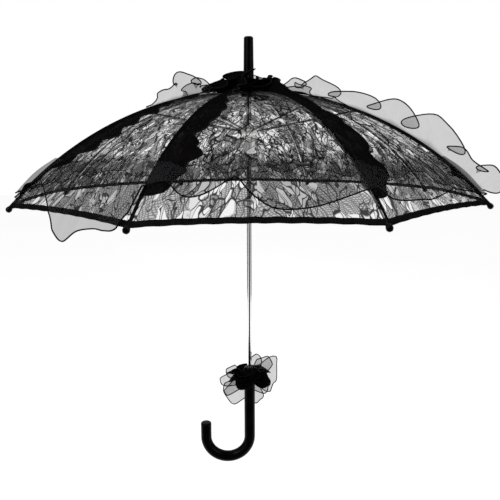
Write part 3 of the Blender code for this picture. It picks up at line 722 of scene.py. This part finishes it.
def on_curve(points, place):
    """A smooth value at a place, from a list of (place, value)."""
    last = len(points) - 1
    spot = 0
    while spot < last - 1 and place > points[spot + 1][0]:
        spot += 1
    (x1, y1), (x2, y2) = points[spot], points[spot + 1]
    x0, y0 = points[spot - 1] if spot else (2 * x1 - x2, y2)
    x3, y3 = points[spot + 2] if spot + 2 <= last else (2 * x2 - x1, y1)
    part = (place - x1) / (x2 - x1)
    slope1 = (y2 - y0) / (x2 - x0) * (x2 - x1)
    slope2 = (y3 - y1) / (x3 - x1) * (x2 - x1)
    return (
        (2 * part**3 - 3 * part**2 + 1) * y1
        + (part**3 - 2 * part**2 + part) * slope1
        + (3 * part**2 - 2 * part**3) * y2
        + (part**3 - part**2) * slope2
    )


def hem_ruffle_point(number, across, s):
    """across runs from -1 to 1 over the sector of rib number, s down to the free edge."""
    before = (number - 2) % RIB_COUNT + 1
    panel, place = (number, across / 2) if across >= 0 else (before, 1 + across / 2)
    edge = on_curve(HEM_EDGES[panel], place) * MM
    start = HEM_RUFFLE_R + 4 * MM * math.sin(2 * math.pi * place) ** 2
    stretch = edge - start
    hang = max(0.0, edge - 0.352)
    radius = start + (stretch - hang * 0.72) * s
    turn = 2 * math.pi * (3 * place + panel * 0.37)
    fade = math.sin(math.pi * place) ** 0.7 if 0 < place < 1 else 0.0
    grow = s**0.9 * (0.35 + 0.65 * fade)
    lift = 3.5 * MM + 7 * MM * grow * (1 + math.sin(turn)) / 2
    lift += 1.5 * MM * math.sin(math.pi * s) * (1 + math.sin(turn * 2.6 + panel))
    sway = 7 * MM * grow * math.sin(turn + 1.2) * abs(math.sin(2 * math.pi * place))
    side = across * panel_width(radius) + sway
    point = on_panel(number, radius, side, CANOPY_LIFT + lift)
    return point - Vector((0, 0, hang * 0.95 * s**1.4))


def build_hem_ruffles(cloth, thread):
    for number in HEM_EDGES:
        piece, edge = add_strip(
            f"hem_ruffle_{number}",
            2 * HEM_STEPS,
            9,
            lambda u, v: hem_ruffle_point(number, 2 * u - 1, v),
            cloth,
            thread,
            f"rib_{number}",
        )
        fold_with_rib(piece, number)
        fold_with_rib(edge, number)


# --- crown rosette -------------------------------------------------------------------------
# name: (cloth, inner radius, width, lobes round, curl, lean from upright, phase)
ROSETTES = {
    "rosette_low": ("dense", 0.014, 0.050, 7, 0.010, 86, 0.0),
    "rosette_mid": ("dense", 0.013, 0.046, 6, 0.010, 78, 1.2),
    "rosette_high": ("dense", 0.012, 0.038, 5, 0.009, 66, 2.3),
    "rosette_top": ("sheer", 0.011, 0.030, 4, 0.007, 50, 0.7),
}


def ring_point(facts, height_at, u, s):
    """A gathered ring round the shaft's axis, that stands on the surface height_at(radius)."""
    _, inner, width, lobes, curl, lean, phase = facts
    turn = 2 * math.pi * u
    circle = Vector((math.cos(turn), math.sin(turn), 0))
    uneven = noise.noise(circle * 1.3 + Vector((phase, inner * 900, 9)))
    lean = math.radians(lean + 24 * noise.noise(circle * 1.1 + Vector((4, phase, 2))))
    wave = lobes * turn + phase + 0.9 * noise.noise(circle * 1.2 + Vector((0, 0, phase)))
    wide = width * (1 + 0.45 * uneven) * (0.80 - 0.20 * math.cos(wave))
    grow = s**0.9
    beside = 0.15 * width * (1 + math.cos(wave)) * grow
    beside += 1.5 * MM * math.sin(math.pi * s) * math.sin(3 * wave) * grow
    radius = inner + wide * grow * math.sin(lean) - beside * math.cos(lean) * 0.5
    lift = wide * grow * math.cos(lean) + beside * math.sin(lean)
    shift = turn - curl * grow * math.sin(wave) / max(radius, 0.012)
    return Vector((radius * math.cos(shift), radius * math.sin(shift), height_at(radius) + lift))


def add_ring(name, facts, height_at, cloths, thread):
    piece, edge = add_strip(
        name, 260, 8, lambda u, v: ring_point(facts, height_at, u, v), cloths[facts[0]], thread, "root",
        radius=0.6 * MM,
    )
    return piece


def build_rosette(cloths, thread):
    for name, facts in ROSETTES.items():
        piece = add_ring(
            name,
            facts,
            lambda radius: dome_height(radius) + CANOPY_LIFT + 1.5 * MM,
            cloths,
            thread,
        )
        if name == "rosette_low":
            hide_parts("crown_ruffle")


# --- bow -----------------------------------------------------------------------------------
# name: (direction in degrees from +X, length, width at the end, start of its depth, depth at
# the end (towards +Y), squareness of the end, folds)
BOW_LOBES = {
    "bow_lobe_1": (236, 0.062, 0.050, 0.0, 0.010, 0.60, 1.4),
    "bow_lobe_2": (197, 0.052, 0.026, 0.0, 0.004, 0.4, 1.1),
    "bow_lobe_3": (216, 0.052, 0.020, -0.004, -0.008, 0.5, 1.6),
    "bow_lobe_4": (-7, 0.047, 0.070, 0.004, 0.014, 0.85, 1.7),
    "bow_lobe_5": (64, 0.034, 0.024, 0.0, 0.006, 0.5, 1.3),
    "bow_lobe_6": (-76, 0.058, 0.026, 0.004, 0.012, 0.8, 1.6),
    "bow_lobe_7": (-52, 0.044, 0.028, 0.002, 0.004, 0.6, 1.2),
    "bow_lobe_8": (184, 0.040, 0.026, 0.004, 0.016, 0.5, 1.3),
    "bow_lobe_9": (38, 0.044, 0.030, 0.0, -0.004, 0.6, 1.5),
}
BOW_RINGS = {
    "bow_gather_low": ("black", 0.0115, 0.026, 5, 0.004, 112, 0.4),
    "bow_gather_mid": ("black", 0.0115, 0.027, 5, 0.004, 88, 1.7),
    "bow_gather_high": ("black", 0.0115, 0.021, 6, 0.004, 66, 3.0),
}
BOW_LENGTHS, BOW_WIDTHS = 24, 32


def bow_lobe_point(name, centre, u, s):
    direction, length, width, near, far, square, folds = BOW_LOBES[name]
    turn = math.radians(direction)
    out = Vector((math.cos(turn), 0, math.sin(turn)))
    side = Vector((-math.sin(turn), 0, math.cos(turn)))
    across = 2 * u - 1
    spread = (0.16 + 0.84 * math.sin(s * math.pi * 0.56) ** 0.9) * width / 2
    round_end = 1 - (1 - square) * abs(across) ** 3 * s
    wave = math.pi * folds * across + direction
    puff = near + (far - near) * s + 0.16 * width * math.sin(wave) * s
    puff += 1.0 * MM * math.sin(math.pi * across * 5 + direction) * math.exp(-3 * s)
    bend = 0.12 * width * math.sin(math.pi * s) * math.cos(math.pi * across * 0.5)
    reach = 0.008 + (length - 0.008) * s * round_end
    return centre + out * reach + side * (spread * across) + Vector((0, puff + bend, 0))


def build_bow(cloths, thread):
    low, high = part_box("bow_band")
    centre = (low + high) / 2
    for name, facts in BOW_LOBES.items():
        mesh = grid_mesh(name, BOW_WIDTHS, BOW_LENGTHS, lambda u, v: bow_lobe_point(name, centre, u, v))
        piece = add_piece(name, mesh, cloths["sheer"], "root")
        rim = [bow_lobe_point(name, centre, 0.0, i / BOW_LENGTHS) for i in range(BOW_LENGTHS)]
        rim += [bow_lobe_point(name, centre, i / BOW_WIDTHS, 1.0) for i in range(BOW_WIDTHS + 1)]
        rim += [bow_lobe_point(name, centre, 1.0, 1 - i / BOW_LENGTHS) for i in range(1, BOW_LENGTHS + 1)]
        edge = add_piece(f"{name}_edge", tube_mesh(f"{name}_edge", rim, 0.85 * MM), thread, "root")
    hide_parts("bow_left")
    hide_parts("bow_right")
    for name, facts in BOW_RINGS.items():
        piece = add_ring(name, facts, lambda radius: centre.z - 3 * MM, cloths, thread)
        if name == "bow_gather_mid":
            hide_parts("bow_knot")


# --- handle, and the finish of the CAD pieces ----------------------------------------------
HANDLE_R = 0.009
HOOK_TIP_Z = -0.007
HANDLE_EDGE = 0.0022  # radius of the rounded rims at both ends


def build_handle(material):
    """The J handle again, with round sides and a softened end."""
    low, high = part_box("handle")
    radius = HANDLE_R
    hook = (high.x - radius - (low.x + radius)) / 2
    centre_z = low.z + hook + radius
    tip_z = HOOK_TIP_Z
    path = [Vector((0, 0, high.z - (high.z - centre_z) * i / 12)) for i in range(12)]
    for i in range(49):
        turn = math.pi * i / 48
        path.append(Vector((-hook + hook * math.cos(turn), 0, centre_z - hook * math.sin(turn))))
    path += [Vector((-2 * hook, 0, centre_z + (tip_z - centre_z) * i / 5)) for i in range(1, 6)]
    sides = 40
    rings = []
    length = len(path)
    for i, point in enumerate(path):
        tangent = (path[min(i + 1, length - 1)] - path[max(i - 1, 0)]).normalized()
        side = Vector((0, 1, 0))
        other = tangent.cross(side)
        rings.append((point, side, other, radius, tangent))
    # round over both ends
    first, last = rings[0], rings[-1]
    ends = []
    for source, sign in ((first, -1), (last, 1)):
        point, side, other, _, tangent = source
        over = []
        for k in range(1, 5):
            turn = math.pi / 2 * k / 4
            along = sign * (-HANDLE_EDGE + HANDLE_EDGE * math.sin(turn))
            narrow = radius - HANDLE_EDGE * (1 - math.cos(turn))
            over.append((point + tangent * along, side, other, narrow, tangent))
        ends.append(over)
    rings[0] = (first[0] - first[4] * -HANDLE_EDGE, *first[1:])
    rings[-1] = (last[0] - last[4] * HANDLE_EDGE, *last[1:])
    rings = ends[0][::-1] + rings + ends[1]
    bm = bmesh.new()
    made = []
    for point, side, other, wide, _ in rings:
        ring = []
        for k in range(sides):
            turn = 2 * math.pi * k / sides
            ring.append(bm.verts.new(point + (side * math.cos(turn) + other * math.sin(turn)) * wide))
        made.append(ring)
    for one, two in zip(made, made[1:]):
        for k in range(sides):
            n = (k + 1) % sides
            bm.faces.new((one[k], one[n], two[n], two[k]))
    bm.faces.new(made[0][::-1])
    bm.faces.new(made[-1])
    bmesh.ops.recalc_face_normals(bm, faces=bm.faces)
    mesh = bpy.data.meshes.new("hook_handle")
    bm.to_mesh(mesh)
    bm.free()
    mesh.shade_smooth()
    piece = add_piece("hook_handle", mesh, material, "root")
    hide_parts("handle")


def paint(names, material):
    for name in names:
        thing = NODES[name]
        if not thing.material_slots:
            thing.data.materials.append(material)
        thing.material_slots[0].material = material


def numbered(name):
    return [f"{name}_{number}" for number in range(1, RIB_COUNT + 1)]


# --- camera, light and floor ---------------------------------------------------------------
# From a fit to rib tips and the shaft, with the roll given apart from it. Away, above the tips and aside
# are shares of TIP_R, turn, dip and roll are angles, and the shift is a share of the picture.
CAMERA_AWAY = 2.5623
CAMERA_ABOVE = 0.2501
CAMERA_ASIDE = 0.01524
CAMERA_TURN = math.radians(1.364)
CAMERA_DIP = 0.18754
CAMERA_ROLL = math.radians(-0.25)
CAMERA_LENS = 41.075
CAMERA_SHIFT = 0.0083


def build_camera():
    bpy.context.scene.view_settings.view_transform = "Standard"
    tip_z = dome_height(TIP_R)
    distance = CAMERA_AWAY * TIP_R
    above = CAMERA_ABOVE * TIP_R
    turn = CAMERA_TURN
    aside = CAMERA_ASIDE * TIP_R
    forward = Vector((math.sin(turn), math.cos(turn), 0))
    right = Vector((math.cos(turn), -math.sin(turn), 0))
    data = bpy.data.cameras.new("camera")
    data.sensor_width = 36.0
    data.lens = CAMERA_LENS
    data.shift_x = CAMERA_SHIFT
    data.clip_end = 50.0
    camera = bpy.data.objects.new("camera", data)
    bpy.context.scene.collection.objects.link(camera)
    camera.location = -forward * distance - right * aside + Vector((0, 0, tip_z + above))
    look = Matrix.Rotation(-turn, 4, "Z") @ Matrix.Rotation(math.pi / 2 - CAMERA_DIP, 4, "X")
    roll = Matrix.Rotation(CAMERA_ROLL, 4, "Z")
    camera.rotation_euler = (look @ roll).to_euler()
    bpy.context.scene.camera = camera


def area_light(name, place, target, size, power):
    data = bpy.data.lights.new(name, "AREA")
    data.shape = "RECTANGLE"
    data.size, data.size_y = size
    data.energy = power
    light = bpy.data.objects.new(name, data)
    bpy.context.scene.collection.objects.link(light)
    light.location = place
    light.rotation_euler = (Vector(target) - Vector(place)).to_track_quat("-Z", "Y").to_euler()


def build_studio():
    world = bpy.data.worlds.new("studio")
    world.use_nodes = True
    world.node_tree.nodes["Background"].inputs["Color"].default_value = (1, 1, 1, 1)
    world.node_tree.nodes["Background"].inputs["Strength"].default_value = 1.0
    bpy.context.scene.world = world
    area_light("key", (-1.3, -1.0, 1.5), (0, 0, 0.3), (0.7, 1.2), 16)
    area_light("fill", (1.5, -0.7, 0.9), (0, 0, 0.3), (0.7, 1.4), 7)

    size, height = 8.0, CAD_BOX[0][2] - 0.25
    corners = [(x * size, y * size, height) for x, y in ((-1, -1), (1, -1), (1, 1), (-1, 1))]
    floor = quad("floor", corners)
    material, tree, shader = new_material("floor")
    shade = noise_node(tree, node(tree, "ShaderNodeTexCoord").outputs["Object"], 0.6, 2.0)
    pale = ramp_node(tree, shade.outputs["Fac"], [(0.3, 0.95), (0.7, 0.97)])
    tree.links.new(pale, shader.inputs["Base Color"])
    shader.inputs["Roughness"].default_value = 1.0
    shader.inputs["Specular IOR Level"].default_value = 0.0
    floor.data.materials.append(material)

    # black flags, seen only in reflections, as a photographer hangs them round shiny metal
    black, _, flag_shader = new_material("black_flag")
    flag_shader.inputs["Base Color"].default_value = (0.002, 0.002, 0.002, 1)
    flag_shader.inputs["Roughness"].default_value = 1.0
    flag_shader.inputs["Specular IOR Level"].default_value = 0.0
    low = height + 0.01
    flags = [
        quad("flag_floor", [(-0.9, -1.2, low), (0.9, -1.2, low), (0.9, -0.2, low), (-0.9, -0.2, low)]),
        quad("flag_front", [(-0.9, -1.2, -1.0), (0.9, -1.2, -1.0), (0.9, -1.2, 1.6), (-0.9, -1.2, 1.6)]),
        quad("flag_right", [(1.9, -1.2, -0.8), (1.9, 1.6, -0.8), (1.9, 1.6, 1.9), (1.9, -1.2, 1.9)]),
        quad("flag_left", [(-1.9, 1.6, -0.8), (-1.9, -0.6, -0.8), (-1.9, -0.6, 1.9), (-1.9, 1.6, 1.9)]),
    ]
    for flag in flags:
        flag.data.materials.append(black)
        flag.visible_camera = flag.visible_diffuse = flag.visible_shadow = flag.visible_transmission = False


def quad(name, corners):
    mesh = bpy.data.meshes.new(name)
    mesh.from_pydata(corners, [], [(0, 1, 2, 3)])
    made = bpy.data.objects.new(name, mesh)
    bpy.context.scene.collection.objects.link(made)
    return made


def main():
    build_camera()
    build_studio()
    black = gloss_black()
    steel = metal("spring_steel", (0.30, 0.30, 0.31), (0.45, 0.45, 0.46), 0.25)
    paint(["ferrule", "crown_cap", "top_notch", *numbered("rib_tip")], black)
    paint(["shaft"], metal("chrome", (0.80, 0.80, 0.81), (0.88, 0.88, 0.89), 0.05))
    paint(["notch_wire", "stop_pin", "top_catch", "bottom_catch"], steel)
    paint(["runner"], white_plastic())
    paint(numbered("rib"), metal("rib_steel", (0.72, 0.72, 0.73), (0.92, 0.92, 0.93), 0.24))
    paint(numbered("stretcher"), metal("stretcher_steel", (0.34, 0.34, 0.35), (0.52, 0.52, 0.53), 0.30))
    paint(["bow_band"], binding_cloth("tie_ribbon"))
    build_handle(black)
    build_canopy()
    cloths = {
        "sheer": organza("organza", 0.31, gloss=0.03),
        "dense": organza("organza_doubled", 0.96, (0.0016, 0.0014, 0.0014), gathered=0.040, gloss=0.0),
        "black": organza("organza_gathered", 0.96, (0.0012, 0.0012, 0.0012), gloss=0.0),
        "hem": organza("organza_hem", 0.36, (0.010, 0.010, 0.011), gathered=0.001, gloss=0.0),
    }
    thread = binding_cloth("rolled_edge", (0.0018, 0.0018, 0.002))
    build_seam_ruffles(cloths, thread)
    build_hem_ruffles(cloths["hem"], thread)
    build_rosette(cloths, thread)
    build_bow(cloths, thread)


main()
